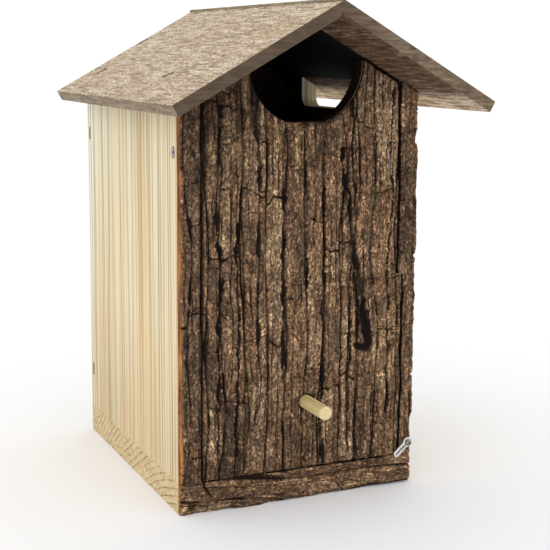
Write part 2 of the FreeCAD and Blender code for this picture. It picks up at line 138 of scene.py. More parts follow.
class Shader:
    """Short names for building one node material."""

    def __init__(self, name):
        self.material = bpy.data.materials.new(name)
        self.material.use_nodes = True
        self.tree = self.material.node_tree
        self.tree.nodes.clear()
        self.surface = self.node("ShaderNodeBsdfPrincipled")
        output = self.node("ShaderNodeOutputMaterial")
        self.link(self.surface.outputs["BSDF"], output.inputs["Surface"])
        self.place = self.node("ShaderNodeTexCoord").outputs["Object"]

    def node(self, kind, **settings):
        made = self.tree.nodes.new(kind)
        for key, setting in settings.items():
            setattr(made, key, setting)
        return made

    def link(self, source, target):
        if isinstance(source, bpy.types.NodeSocket):
            self.tree.links.new(source, target)
        else:
            target.default_value = source

    def math(self, operation, *values, clamp=False):
        made = self.node("ShaderNodeMath", operation=operation, use_clamp=clamp)
        for value, target in zip(values, made.inputs):
            self.link(value, target)
        return made.outputs[0]

    def scaled(self, scale, turn=(0, 0, 0), shift=(0, 0, 0)):
        """Object coordinates, turned, moved and then scaled along each axis."""
        first = self.node("ShaderNodeMapping", vector_type="POINT")
        self.link(self.place, first.inputs["Vector"])
        first.inputs["Rotation"].default_value = turn
        first.inputs["Location"].default_value = shift
        second = self.node("ShaderNodeMapping", vector_type="POINT")
        self.link(first.outputs[0], second.inputs["Vector"])
        second.inputs["Scale"].default_value = scale
        return second.outputs[0]

    def noise(self, scale, detail=3, roughness=0.55, distortion=0.0, **mapping):
        made = self.node("ShaderNodeTexNoise")
        self.link(self.scaled(scale, **mapping), made.inputs["Vector"])
        made.inputs["Scale"].default_value = 1
        made.inputs["Detail"].default_value = detail
        made.inputs["Roughness"].default_value = roughness
        made.inputs["Distortion"].default_value = distortion
        return made.outputs[0]

    def ramp(self, value, *stops):
        """Colour or grey ramp through (position, colour or number) stops."""
        made = self.node("ShaderNodeValToRGB")
        self.link(value, made.inputs[0])
        elements = made.color_ramp.elements
        while len(elements) < len(stops):
            elements.new(0.5)
        for element, (position, colour) in zip(elements, stops):
            element.position = position
            if not isinstance(colour, tuple):
                colour = (colour, colour, colour)
            element.color = (*colour, 1)
        return made.outputs[0]

    def mix(self, share, first, second, blend="MIX"):
        made = self.node("ShaderNodeMix", data_type="RGBA", blend_type=blend)
        self.link(share, made.inputs[0])
        for colour, target in ((first, made.inputs[6]), (second, made.inputs[7])):
            self.link((*colour, 1) if isinstance(colour, tuple) else colour, target)
        return made.outputs[2]

    def attribute(self, name):
        return self.node("ShaderNodeAttribute", attribute_name=name).outputs["Fac"]

    def axis(self, letter):
        """One object coordinate in metres."""
        split = self.node("ShaderNodeSeparateXYZ")
        self.link(self.place, split.inputs[0])
        return split.outputs[letter]

    def finish(self, colour, roughness, height=None, bump=0.001, metal=0.0, gloss=0.5):
        self.link(colour, self.surface.inputs["Base Color"])
        self.link(roughness, self.surface.inputs["Roughness"])
        self.surface.inputs["Metallic"].default_value = metal
        self.surface.inputs["Specular IOR Level"].default_value = gloss
        if height is not None:
            made = self.node("ShaderNodeBump")
            made.inputs["Distance"].default_value = bump
            made.inputs["Strength"].default_value = 1
            self.link(height, made.inputs["Height"])
            self.link(made.outputs[0], self.surface.inputs["Normal"])
        return self.material


def dress(name, material, bevel=0.0004):
    """Gives a shown CAD node its material and softens its sharp edges."""
    piece = nodes[name]
    piece.data.materials.clear()
    piece.data.materials.append(material)
    weld = piece.modifiers.new("weld", "WELD")
    weld.merge_threshold = 0.00001
    if bevel:
        soft = piece.modifiers.new("soft_edges", "BEVEL")
        soft.width = bevel
        soft.segments = 2
        soft.limit_method = "ANGLE"
        soft.angle_limit = math.radians(40)
    return piece


def board(node, material, body, bevel=0.0005):
    """Board from a CAD node's own shape, with flat faces rejoined and sharp edges eased."""
    shape = bmesh.new()
    shape.from_mesh(nodes[node].data)
    bmesh.ops.remove_doubles(shape, verts=shape.verts, dist=0.00001)
    bmesh.ops.dissolve_limit(shape, angle_limit=math.radians(1), verts=shape.verts,
                             edges=shape.edges, use_dissolve_boundaries=False)
    sharp = [edge for edge in shape.edges
             if edge.is_manifold and edge.calc_face_angle() > math.radians(40)]
    bmesh.ops.bevel(shape, geom=sharp, offset=bevel, segments=2, profile=0.6,
                    affect="EDGES", clamp_overlap=True)
    mesh = bpy.data.meshes.new(node + "_wood")
    shape.to_mesh(mesh)
    shape.free()
    mesh.materials.append(material)
    piece = bpy.data.objects.new(node + "_wood", mesh)
    scene.collection.objects.link(piece)
    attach(piece, body)
    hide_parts(node)
    return piece


def new_piece(name, points, faces, material, body, replaced, soft=True):
    """Mesh piece from points in metres that stands for CAD nodes."""
    mesh = bpy.data.meshes.new(name)
    mesh.from_pydata(points, [], faces)
    mesh.validate()
    mesh.materials.append(material)
    mesh.polygons.foreach_set("use_smooth", [soft] * len(mesh.polygons))
    piece = bpy.data.objects.new(name, mesh)
    scene.collection.objects.link(piece)
    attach(piece, body)
    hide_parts(*replaced)
    return piece


# ---------------------------------------------------------------- materials

QUARTER = math.pi / 2
RING_SLANT = 0.012       # how fast the growth rings widen along the grain


def pine(name, turn, pith, spacing, pale, warm, line, inside=None, spread=1.0, sap=None,
         inside_shade_colour=rgb(56, 38, 26), early=0.55):
    """Planed pine. turn takes the grain to Z, pith is the ring centre in the turned frame, spacing
    the width of a ring and early the share of it that is pale. inside and sap build masks; where
    inside is 1 the wood is darkened towards a dark brown, which is painted shade."""
    s = Shader(name)
    # Growth rings round the pith.
    warp = s.noise((18, 18, 1.6), detail=2, turn=turn)
    push = s.math("MULTIPLY", s.math("SUBTRACT", warp, 0.5), 2.6 * spread)
    offset = (-pith[0], -pith[1], 0)
    flat = s.scaled((1 / spacing, 1 / spacing, RING_SLANT / spacing), turn=turn, shift=offset)
    length = s.node("ShaderNodeVectorMath", operation="LENGTH")
    s.link(flat, length.inputs[0])
    ring = s.math("FRACT", s.math("ADD", length.outputs["Value"], push))
    late = s.ramp(ring, (0.0, 0.0), (early, 0.12), (0.86, 1.0), (0.97, 0.9), (1.0, 0.0))
    strength = s.ramp(s.noise((70, 70, 1.2), detail=2, turn=turn), (0.32, 0.1), (0.68, 1.0))
    # Patches of warmer wood and streaks along the grain.
    fibre = s.noise((1500, 1500, 22), detail=2, turn=turn)
    streak = s.noise((400, 400, 3), detail=3, turn=turn)
    patch = s.ramp(s.noise((22, 22, 1.4), detail=1, turn=turn), (0.36, 0.0), (0.66, 1.0))
    colour = s.mix(patch, pale, warm)
    colour = s.mix(s.math("MULTIPLY", s.math("MULTIPLY", late, strength), 0.85), colour, line)
    tint = s.ramp(streak, (0.37, (0.58, 0.53, 0.42)), (0.47, (0.98, 0.97, 0.95)),
                  (0.62, (1.12, 1.13, 1.14)))
    colour = s.mix(0.8, colour, tint, "MULTIPLY")
    # Darker near the ground, paler in the sapwood.
    low_down = s.ramp(s.axis("Z"), (0.05, (0.89, 0.86, 0.82)), (0.13, WHITE))
    colour = s.mix(1.0, colour, low_down, "MULTIPLY")
    if sap is not None:
        sapwood = s.ramp(sap(s), (0.1, (1.0, 0.95, 0.89)), (0.42, WHITE), (0.8, (1.01, 1.12, 1.28)))
        colour = s.mix(1.0, colour, sapwood, "MULTIPLY")
    grey = s.ramp(fibre, (0.3, (0.9, 0.89, 0.87)), (0.7, WHITE))
    colour = s.mix(0.6, colour, grey, "MULTIPLY")
    # Painted shade: faces inside the closed box are darkened towards the inside shade colour.
    if inside is not None:
        colour = s.mix(inside(s), colour, inside_shade_colour)
    height = s.math("ADD", s.math("MULTIPLY", late, -0.25), s.math("MULTIPLY", fibre, 0.5))
    rough = s.ramp(fibre, (0.2, 0.55), (0.8, 0.72))
    return s.finish(colour, rough, height, bump=0.00012, gloss=0.25)


def box_inside_shade(s, half=0.0795, floor=0.0215, front=-0.109):
    """1 on surfaces that face the closed box's inside, where painted shade darkens them, 0 on its outer
    faces.
    """
    share = 1
    for letter, low, high in (("X", -half, half), ("Y", front, 0.109), ("Z", floor, 1.0)):
        place = s.axis(letter)
        share = s.math("MULTIPLY", share, s.math("GREATER_THAN", place, low))
        share = s.math("MULTIPLY", share, s.math("LESS_THAN", place, high))
    return share


def door_inside_shade(s):
    """1 on the door board's back face and on the entrance's edge, where painted shade darkens them."""
    return s.math("MAXIMUM", box_inside_shade(s, front=-0.0965), box_inside_shade(s, half=0.0485, floor=0.272))


def upper_back(s):
    """Rises from 0 to 1 towards the box's upper back, where the pale sapwood is."""
    return s.math("ADD", s.math("MULTIPLY", s.axis("Y"), 3.0), s.math("MULTIPLY", s.axis("Z"), 2.0))


PALE, WARM, LINE = rgb(231, 225, 199), rgb(224, 204, 163), rgb(186, 155, 106)
ALONG_X = (0, -QUARTER, 0)
UPRIGHT = (0, 0, 0)


def bark_material(name, along_x=False):
    """Flaky bark from the mesh's own crack darkness, tone and cut values plus fine noise along its grain;
    the crack darkness is painted shade in cracks, seams and slab sides.
    """
    s = Shader(name)

    def grained(across, lengthwise):
        return (lengthwise, across, across) if along_x else (across, across, lengthwise)

    hollow_shade = s.attribute("hollow_shade")
    tone = s.attribute("tone")
    cut = s.attribute("cut")
    light = s.attribute("light")
    warm = s.ramp(s.noise(grained(60, 14), detail=3), (0.4, 0.0), (0.62, 1.0))
    olive = s.ramp(s.noise(grained(140, 30), detail=2, shift=(0.4, 0, 0)), (0.45, 0.0), (0.66, 1.0))
    colour = s.ramp(tone, (0.15, rgb(92, 76, 65)), (0.35, rgb(118, 97, 78)),
                    (0.5, rgb(118, 91, 71)), (0.65, rgb(136, 114, 91)), (0.85, rgb(108, 93, 78)))
    colour = s.mix(s.math("MULTIPLY", warm, 0.3), colour, rgb(116, 89, 68))
    colour = s.mix(s.math("MULTIPLY", olive, 0.36), colour, rgb(122, 107, 76))
    # Dark and light flakes, then grit and streaks over them.
    flake = s.ramp(light, (0.18, (0.26, 0.23, 0.22)), (0.42, (0.8, 0.78, 0.76)),
                   (0.56, (1.35, 1.32, 1.27)), (0.74, (2.55, 2.62, 2.62)))
    colour = s.mix(0.95, colour, flake, "MULTIPLY")
    grit = s.node("ShaderNodeTexVoronoi", feature="F1")
    s.link(s.scaled(grained(1150, 620)), grit.inputs["Vector"])
    grit.inputs["Scale"].default_value = 1
    grain = s.node("ShaderNodeSeparateXYZ")
    s.link(grit.outputs["Color"], grain.inputs[0])
    specks = s.ramp(grain.outputs[0], (0.0, (0.25, 0.22, 0.22)), (0.4, (0.8, 0.77, 0.76)),
                    (0.75, (1.26, 1.24, 1.21)), (1.0, (2.85, 2.8, 2.65)))
    colour = s.mix(0.8, colour, specks, "MULTIPLY")
    streak = s.ramp(s.noise(grained(760, 90), detail=3), (0.36, (0.5, 0.47, 0.45)),
                    (0.6, (1.2, 1.19, 1.17)))
    colour = s.mix(0.6, colour, streak, "MULTIPLY")
    # Painted shade makes the cracks, seams and slab sides near black; orange where the bark was sawn
    # through.
    colour = s.mix(s.ramp(hollow_shade, (0.22, 0.0), (0.55, 0.8), (0.9, 1.0)), colour, rgb(20, 11, 8))
    speck = s.noise((800, 800, 450), detail=3, roughness=0.75)
    inner = s.ramp(s.noise(grained(500, 30), detail=3), (0.35, rgb(112, 66, 34)),
                   (0.65, rgb(186, 132, 78)))
    colour = s.mix(cut, colour, inner)
    height = s.math("ADD", s.math("MULTIPLY", speck, 0.8),
                    s.math("MULTIPLY", s.noise((1600, 1600, 500), detail=2), 0.4))
    return s.finish(colour, 0.86, height, bump=0.0008, gloss=0.2)


def roof_material():
    """Stained roof board: speckled faces, darker gable ends, greyer eave and ridge edges, and an underside
    with painted shade and painted bounce light.
    """
    s = Shader("roof_wood")
    split = s.node("ShaderNodeSeparateXYZ")
    s.link(s.node("ShaderNodeNewGeometry").outputs["Normal"], split.inputs[0])
    along, up = split.outputs["Y"], split.outputs["Z"]
    grain = s.noise((380, 42, 380), detail=4, roughness=0.6)
    speck = s.noise((620, 260, 620), detail=3, roughness=0.8)
    dots = s.ramp(speck, (0.37, (0.36, 0.31, 0.26)), (0.46, (0.88, 0.86, 0.83)),
                  (0.55, (1.14, 1.14, 1.14)), (0.66, (1.6, 1.6, 1.58)))
    cloud = s.ramp(s.noise((28, 8, 28), detail=3), (0.4, 0.0), (0.7, 1.0))
    face = s.ramp(grain, (0.36, rgb(140, 122, 100)), (0.5, rgb(181, 164, 142)),
                  (0.64, rgb(202, 188, 168)))
    face = s.mix(s.math("MULTIPLY", cloud, 0.25), face, rgb(168, 144, 110))
    face = s.mix(0.92, face, dots, "MULTIPLY")
    # The underside carries painted shade: dark up to the side boards, and paler and streaked past them as
    # painted light bounced up from the floor.
    under = s.ramp(grain, (0.34, rgb(60, 43, 31)), (0.52, rgb(103, 80, 62)),
                   (0.68, rgb(152, 128, 100)))
    under = s.mix(0.75, under, dots, "MULTIPLY")
    outward = s.math("ABSOLUTE", s.axis("X"))
    eave_bounce_light = s.ramp(outward, (0.09, 0.0), (0.1, 1.0))
    bounce_lit_underside = s.ramp(grain, (0.38, rgb(150, 124, 96)), (0.56, rgb(232, 214, 188)))
    under = s.mix(s.math("MULTIPLY", eave_bounce_light, 0.85), under, s.mix(0.6, bounce_lit_underside, dots, "MULTIPLY"))
    rim = s.ramp(grain, (0.34, rgb(122, 108, 90)), (0.66, rgb(156, 142, 120)))
    rim = s.mix(0.6, rim, dots, "MULTIPLY")
    # The gable ends are darker on the left panel than on the right one.
    wave = s.noise((90, 400, 420), detail=4, roughness=0.7, distortion=0.2)
    left = s.ramp(wave, (0.35, rgb(76, 63, 50)), (0.65, rgb(98, 83, 67)))
    right = s.ramp(wave, (0.35, rgb(86, 71, 56)), (0.5, rgb(112, 96, 78)), (0.65, rgb(134, 118, 98)))
    gable = s.mix(s.ramp(s.math("MULTIPLY_ADD", s.axis("X"), 8, 0.4), (0.3, 0.0), (0.7, 1.0)), left, right)
    # Painted shade: near black on the underside inside the box.
    under = s.mix(box_inside_shade(s, 0.079, 0.3), under, rgb(12, 9, 8))
    # Downward faces take the underside's painted shade, upward faces the face colour.
    colour = s.mix(s.ramp(s.math("MULTIPLY_ADD", up, 0.5, 0.5), (0.1, 0.0), (0.16, 1.0)), under, rim)
    colour = s.mix(s.ramp(up, (0.4, 0.0), (0.7, 1.0)), colour, face)
    colour = s.mix(s.ramp(s.math("ABSOLUTE", along), (0.5, 0.0), (0.8, 1.0)), colour, gable)
    height = s.math("ADD", s.math("MULTIPLY", grain, 0.5), s.math("MULTIPLY", speck, 0.5))
    return s.finish(colour, 0.8, height, bump=0.0004, gloss=0.2)


def peg_material():
    """Pale dowel with a lighter end face."""
    s = Shader("peg_wood")
    fibre = s.noise((900, 30, 900), detail=3)
    colour = s.ramp(fibre, (0.3, rgb(196, 170, 112)), (0.7, rgb(226, 206, 154)))
    split = s.node("ShaderNodeSeparateXYZ")
    s.link(s.node("ShaderNodeNewGeometry").outputs["Normal"], split.inputs[0])
    end = s.ramp(s.math("MULTIPLY", split.outputs["Y"], -1), (0.2, 0.0), (0.7, 1.0))
    pores = s.ramp(s.noise((1500, 1500, 1500), detail=2), (0.35, rgb(206, 182, 128)),
                   (0.6, rgb(232, 216, 172)))
    colour = s.mix(end, colour, pores)
    return s.finish(colour, 0.6, fibre, bump=0.0002, gloss=0.3)


def metal_material(name, low, high, roughness, scale=900):
    """Metal with fine brushed scratches and dull spots."""
    s = Shader(name)
    scratch = s.noise((scale, scale, scale / 8), detail=3)
    colour = s.ramp(scratch, (0.3, low), (0.7, high))
    rough = s.ramp(s.noise((300, 300, 300), detail=2), (0.3, roughness), (0.7, roughness + 0.15))
    return s.finish(colour, rough, scratch, bump=0.00005, metal=1.0)


BARK = bark_material("bark")
FOOT_BARK = bark_material("foot_bark", along_x=True)
ROOF = roof_material()
ZINC = metal_material("zinc", rgb(176, 176, 170), rgb(232, 232, 228), 0.25)
SCREW = metal_material("screw_zinc", rgb(92, 90, 84), rgb(206, 204, 196), 0.3, scale=1500)
DARK_WIRE = metal_material("dark_wire", rgb(34, 28, 24), rgb(70, 62, 56), 0.5)
BROWN_WIRE = metal_material("brown_wire", rgb(96, 74, 56), rgb(150, 122, 94), 0.75)

SIDE_PINE = pine("pine_side", UPRIGHT, (-0.02, 0.03), 0.0046, PALE, WARM, rgb(166, 136, 90),
                 inside=box_inside_shade, sap=upper_back, early=0.7)
FLOOR_PINE = pine("pine_floor", ALONG_X, (0.27, -0.18), 0.0054, WARM, WARM, rgb(104, 76, 42),
                  inside=box_inside_shade, spread=0.4, early=0.74)
BACK_PINE = pine("pine_back", UPRIGHT, (0.01, 0.16), 0.0045, PALE, WARM, LINE, inside=box_inside_shade)
# The door's back face and entrance edge get a darker painted shade than the other inside faces.
DOOR_PINE = pine("pine_door", UPRIGHT, (0.0, -0.2), 0.0045, PALE, WARM, LINE, inside=door_inside_shade,
                 inside_shade_colour=rgb(30, 22, 17))

for name, material, body, slot_name in (
        ("floor_board", FLOOR_PINE, "box", "pine_floor"),
        ("left_side_board", SIDE_PINE, "box", "pine_side"),
        ("right_side_board", SIDE_PINE, "box", "pine_side"),
        ("back_board", BACK_PINE, "box", "pine_back"),
        ("door_board", DOOR_PINE, "door", "pine_door"),
        ("roof_panel_left", ROOF, "box", "roof_wood"),
        ("roof_panel_right", ROOF, "box", "roof_wood")):
    board(name, material, body)
for name in ("pivot_screw_left", "pivot_screw_right", "latch_screw"):
    dress(name, SCREW, bevel=0.0002)
for name in ("roof_staples_left", "roof_staples_right", "side_staples_left",
             "side_staples_right", "floor_nails", "door_bark_pins"):
    dress(name, DARK_WIRE, bevel=0.0001)
for name in ("left_edge_pins", "right_edge_pins", "base_bark_pins"):
    dress(name, BROWN_WIRE, bevel=0.0001)
dress("peg", peg_material(), bevel=0)
dress("latch_hook", ZINC, bevel=0)


# ---------------------------------------------------------------- bark

BARK_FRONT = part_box("door_bark")[0].y / MM
BARK_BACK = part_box("door_bark")[1].y / MM
PEG = (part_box("peg")[0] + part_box("peg")[1]) / 2 / MM
PEG_RADIUS = (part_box("peg")[1].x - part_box("peg")[0].x) / 2 / MM

# Long cracks in the door's bark, spread across it by a loop.
CRACK_COUNT = 9
CRACK_HALF, CRACK_DEPTH = 0.95, 4.6
CRACK_WANDER = 7.0
# The widest split leans right on its way down and hooks left at its foot. Its ends are shares of
# the door bark's width and height.
SPLIT_ACROSS = (0.67, 0.83)
SPLIT_UP = (0.78, 0.29)
SPLIT_HALF, SPLIT_DEPTH = 2.7, 6.2
SPLIT_WANDER = 9.0
HOOK_REACH = 9.0


def upright_gap(x, z, centre, foot, top):
    """Distance from each place to a line along centre that runs from foot to top."""
    return np.hypot(x - centre, np.maximum(np.maximum(foot - z, z - top), 0))


def long_cracks(x, z, low, high):
    """Distance, half width and depth of each of the door's long cracks."""
    width, height = high.x - low.x, high.z - low.z
    for number in range(CRACK_COUNT):
        own = np.full(5, number)
        place, start, end, wide, deep = hashed(own, np.arange(5), 301)
        middle = low.x + width * (number + 0.3 + 0.4 * place) / CRACK_COUNT
        centre = middle + CRACK_WANDER * (fractal(z / 55, z * 0 + number * 3.7, 302) - 0.5)
        foot = low.z + height * 0.5 * start ** 2
        top = high.z - height * 0.45 * end ** 2
        gap = upright_gap(x, z, centre, foot, top)
        yield gap, CRACK_HALF * (0.6 + 0.8 * wide), CRACK_DEPTH * (0.7 + 0.45 * deep)


def wide_split(x, z, low, high):
    """Distance, half width and depth of the widest split and of the hook at its foot."""
    start, end = (low.x + (high.x - low.x) * share for share in SPLIT_ACROSS)
    top, foot = (low.z + (high.z - low.z) * share for share in SPLIT_UP)
    share = np.clip((top - z) / (top - foot), 0, 1)
    wander = SPLIT_WANDER * (1 - share) * (fractal(z / 26, z * 0, 303) - 0.5)
    centre = start + (end - start) * share ** 1.15 + wander
    yield upright_gap(x, z, centre, foot, top), SPLIT_HALF * (0.4 + 0.8 * share), SPLIT_DEPTH
    beside = np.maximum(np.maximum(end - HOOK_REACH - x, x - end), 0)
    yield np.hypot(beside, z - foot), SPLIT_HALF * 1.3, SPLIT_DEPTH


# Width and length of the bark's pieces, from the largest to the smallest.
PLATE, CHIP, RIDGE = (15, 105), (6, 17), (5.6, 30)
THREAD, FLAKE = (1.9, 9), (1.0, 2.4)


def relief(x, z, seed):
    """Upright bark: depth below its highest places, how much of that is a crack, and the tone and
    brightness of each flake."""
    wx = x + (fractal(x / 40, z / 110, seed) - 0.5) * 8 + (fractal(x / 5, z / 15, seed + 3) - 0.5) * 1.5
    wz = z + (fractal(x / 9, z / 30, seed + 5) - 0.5) * 16
    side, end, plate = strips(wx, wz, *PLATE, seed + 20)
    mid_side, mid_end, ridge = strips(wx, wz, *RIDGE, seed + 21)
    fine_side, _, thread = strips(wx, wz, *THREAD, seed + 22)
    jx, jz = wx + 1.2 * noise(x / 1.3, z / 1.3, seed + 60), wz + 1.6 * noise(x / 1.3, z / 1.3, seed + 61)
    flake_edge, flake = cells(jx / FLAKE[0], jz / FLAKE[1], seed + 23)
    chip = cells(jx / CHIP[0], jz / CHIP[1], seed + 24)[1]
    deep = noise(x / 12, z / 30, seed + 8)
    broken = smooth(0.25, 0.6, noise(x / 5, z / 17, seed + 10))
    split = (1.3 + 3.4 * deep * broken) * (1 - smooth(0.2, 1.3, side))
    fine_crack = 0.7 + 2.4 * broken * smooth(0.3, 0.8, deep)
    split = np.maximum(split, fine_crack * (1 - smooth(0.1, 0.7, mid_side)))
    across = (plate > 0.42) * (1 - smooth(0.3, 1.2, end)) * 3.4
    across = np.maximum(across, (ridge > 0.55) * (1 - smooth(0.1, 0.8, mid_end)) * 2.2)
    split = np.maximum(split, across * (0.4 + 0.8 * noise(x / 3, z / 9, seed + 9)))
    pits = smooth(0.8, 0.98, noise(jx / 1.1, jz / 9, seed + 12))
    split = np.maximum(split, 1.5 * pits)
    rounded = 1.5 * np.exp(-side / 1.6) + 0.7 * np.exp(-mid_side / 0.7)
    depth = rounded + 1.9 * plate + 1.1 * ridge + 0.6 * thread + 0.7 * flake + 0.8 * (chip > 0.55) + split
    depth = depth + 0.4 * (1 - smooth(0.0, 0.25, flake_edge)) + 0.3 * (1 - smooth(0, 0.4, fine_side))
    tone = 0.35 * plate + 0.3 * ridge + 0.15 * chip + 0.2 * noise(x / 7, z / 25, seed + 40)
    light = 0.25 * flake + 0.18 * thread + 0.21 * noise(x / 0.9, z / 1.3, seed + 41)
    light = light + 0.12 * chip + 0.15 * plate + 0.12 * ridge
    return depth, split, tone, light


def cracked(x, z, depth, split, low, high, seed):
    """Adds the long cracks and the wide split, ragged by noise, to the relief."""
    cx = x + (fractal(x / 3.2, z / 6, seed + 50) - 0.5) * 3.4 + (noise(x, z / 1.6, seed + 53) - 0.5) * 1.2
    cz = z + (fractal(x / 5, z / 5, seed + 51) - 0.5) * 3
    vary = 0.2 + 1.6 * noise(x / 15, z / 11, seed + 52)
    strength = 0.42 + 0.58 * smooth(0.25, 0.6, noise(x / 16, z / 17, seed + 54))
    for finder in (long_cracks, wide_split):
        for gap, half, deep in finder(cx, cz, low, high):
            share = strength * (1 - smooth(0.1, 1.6, gap / (half * vary)))
            depth = np.maximum(depth, depth * (1 - share) + deep * share)
            split = np.maximum(split, deep * share)
    return depth, split


def pinned(x, z, depth, places):
    """Keeps the bark up round each pin's head."""
    for px, pz in places:
        near = np.exp(-(np.hypot(x - px, z - pz) / 3.2) ** 2)
        depth = depth * (1 - near) + 0.35 * near
    return depth


def steps(low, high, size):
    """Evenly spaced places from low to high, about size apart."""
    return np.linspace(low, high, max(2, int(round((high - low) / size)) + 1))


NODE_OF = {"front_bark": "door_bark", "left_bark": "left_edge_bark",
           "right_bark": "right_edge_bark", "foot_bark": "base_bark"}


def bark_piece(name, x, z, depth, split, tone, light, cut, body, material=None, fresh=None):
    """Closed bark slab over a grid of x and z, its front carved by depth. fresh is 1 at the
    borders whose sides show sawn inner bark."""
    fresh = x * 0 if fresh is None else fresh
    material = material or BARK
    rows, columns = x.shape
    border = ([(0, c) for c in range(columns)] + [(r, columns - 1) for r in range(1, rows)]
              + [(rows - 1, c) for c in range(columns - 2, -1, -1)]
              + [(r, 0) for r in range(rows - 2, 0, -1)])
    rim = np.array([r * columns + c for r, c in border])
    count = len(rim)
    around = np.arange(count)
    beyond = (around + 1) % count
    front = np.stack([x, BARK_FRONT + depth, z], axis=-1).reshape(-1, 3)
    index = np.arange(rows * columns).reshape(rows, columns)
    quads = np.stack([index[:-1, :-1], index[:-1, 1:], index[1:, 1:], index[1:, :-1]], axis=-1)
    faces = quads.reshape(-1, 4).tolist()
    layers, loops = [front], [rim]
    for number, share in enumerate((0.35, 0.7, 1.0)):
        layer = front[rim]
        layer[:, 1] += (BARK_BACK - layer[:, 1]) * share
        layers.append(layer)
        loops.append(rows * columns + count * number + around)
    for near, far in zip(loops, loops[1:]):
        faces += np.stack([near[beyond], near[around], far[around], far[beyond]], axis=-1).tolist()
    faces.append(loops[-1][::-1].tolist())
    points = np.concatenate(layers)
    piece = new_piece(name, (points * MM).tolist(), faces, material, body, [NODE_OF[name]])
    # The crack value below paints shade into the cracks, seams, the peg's ring and the slab's sides.
    values = {
        "hollow_shade": np.concatenate([split.ravel() / 5 + depth.ravel() / 25, np.full(count * 3, RIM_SHADE)]),
        "tone": np.concatenate([tone.ravel(), np.tile(tone.ravel()[rim], 3)]),
        "light": np.concatenate([light.ravel(), np.tile(light.ravel()[rim], 3)]),
        "cut": np.concatenate([cut.ravel(), np.tile(fresh.ravel()[rim], 3)]),
    }
    for key, value in values.items():
        layer = piece.data.attributes.new(key, "FLOAT", "POINT")
        layer.data.foreach_set("value", value.astype(np.float32))
    return piece


def worn(x, z, depth, seed, reach=1.3, drop=2.0):
    """Rounds the slab's outer edges down by an uneven amount."""
    gap = np.minimum(np.minimum(x - x[:, :1], x[:, -1:] - x), np.minimum(z - z[:1], z[-1:] - z))
    uneven = 0.4 + noise(x / 5, z / 6, seed)
    return depth + drop * uneven * np.exp(-(gap / reach) ** 2)


def roof_line(x):
    """Underside of the roof above x, from the side board's inner top edge and the ridge."""
    return ROOF_PEAK - np.abs(x) * ROOF_SLOPE


ROOF_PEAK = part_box("back_board")[1].z / MM
SIDE_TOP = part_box("left_side_board")[1].z / MM
SIDE_INNER = -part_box("left_side_board")[1].x / MM
ROOF_SLOPE = (ROOF_PEAK - SIDE_TOP) / SIDE_INNER
# The entrance's curve, the pins' heads and the gaps between the bark's pieces, as in the CAD.
NOTCH_CENTRE, NOTCH_RADIUS, NOTCH_HEIGHT, NOTCH_FLAT = 3.5, 44.5, 316.5, 15.5
LEFT_PINS = [(-86, height) for height in (60, 150, 240)]
RIGHT_PINS = [(88.5, height) for height in (75, 160, 245)]
BASE_PINS = [(across, 11) for across in (-75, -25, 25, 75)]
DOOR_TOP_GAP, SEAM_GAP, LAP_TOP, LAP_GAP = 2.6, 0.8, 160.0, 1.5
PATCH_WIDTH, PATCH_LENGTH = 9.0, 32.0   # sunken flake under the entrance's left end
EDGE_CHIP = 2.2                         # deepest chip in the right strip's outer edge
# How much painted shade, how deep and how wide the worn edge is beside the door's upright seams.
SEAM_SHADE, SEAM_DROP, SEAM_REACH = 3.0, 2.5, 1.3
# The slabs' own sides get painted shade.
RIM_SHADE = 0.85                       # how dark a slab's own sides are
SHALLOWEST, DEEPEST = 0.05, 6.6         # limits of the carving into the bark
# The ring round the peg is darkened with painted shade.
PEG_GAP = 1.1                           # width of the dark ring cut into the bark round the peg
LAP_BLEND = 0.4                         # half the height over which a lap's edge steps sideways
LEVEL_TOP = 240.0                       # the door's rows are level below this height
FINE = 0.55                             # width of one step of the bark's grid
UPRIGHT_SEED, LYING_SEED = 11, 31


def door_top(x):
    """Upper outline of the door's bark: below the roof, and round the entrance."""
    top = roof_line(x) - DOOR_TOP_GAP
    across = np.clip(np.abs(x - NOTCH_CENTRE), NOTCH_FLAT, NOTCH_RADIUS)
    arc = NOTCH_HEIGHT - np.sqrt(NOTCH_RADIUS ** 2 - across ** 2)
    return np.where(across < NOTCH_RADIUS, np.minimum(arc, top), top)


def door_grid(low, high):
    """Places over the door's bark, in level rows up to LEVEL_TOP and in rows that follow its top
    edge above. Below LAP_TOP the rows reach further right."""
    upper_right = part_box("door_board")[1].x / MM
    across = steps(low.x, upper_right, FINE)
    notch_edges = [NOTCH_CENTRE + side * (NOTCH_RADIUS - inset)
                   for side in (-1, 1) for inset in (-0.01, 0.01, 0.2, 0.6)]
    across = np.unique(np.concatenate([across, notch_edges]))
    lower = steps(low.z, LEVEL_TOP, FINE * 1.2)
    share = steps(0, 1, FINE * 1.2 / (high.z - LEVEL_TOP))[1:]
    x = np.tile(across, (len(lower) + len(share), 1))
    z = np.concatenate([np.tile(lower[:, None], (1, len(across))),
                        LEVEL_TOP + share[:, None] * (door_top(across)[None] - LEVEL_TOP)])
    lap = (high.x - upper_right) * (1 - smooth(LAP_TOP - LAP_BLEND, LAP_TOP + LAP_BLEND, z))
    return x + lap * (x - low.x) / (upper_right - low.x), z


def door_light(x, z, light):
    """Painted shadow of the roof darkens the flakes under its left half and along the top; they are also
    darker at the foot and paler on the right.
    """
    # Painted shadow under the roof's left half and along the top.
    roof_shadow = smooth(-10, -70, x) * smooth(200, 290, z)
    light = light - 0.2 * roof_shadow - 0.08 * smooth(255, 300, z) - 0.07 * (1 - smooth(40, 130, z))
    return light + 0.045 * smooth(15, 50, x)


def sunken_flake(x, z):
    """1 on the sunken flake under the entrance's left end, 0 beside it."""
    left = NOTCH_CENTRE - NOTCH_RADIUS
    patch = smooth(left, left + 1.4, x)
    patch = patch * (1 - smooth(PATCH_WIDTH - 1, PATCH_WIDTH, x - left))
    return patch * smooth(-1.5, 0, z - door_top(x) + PATCH_LENGTH)


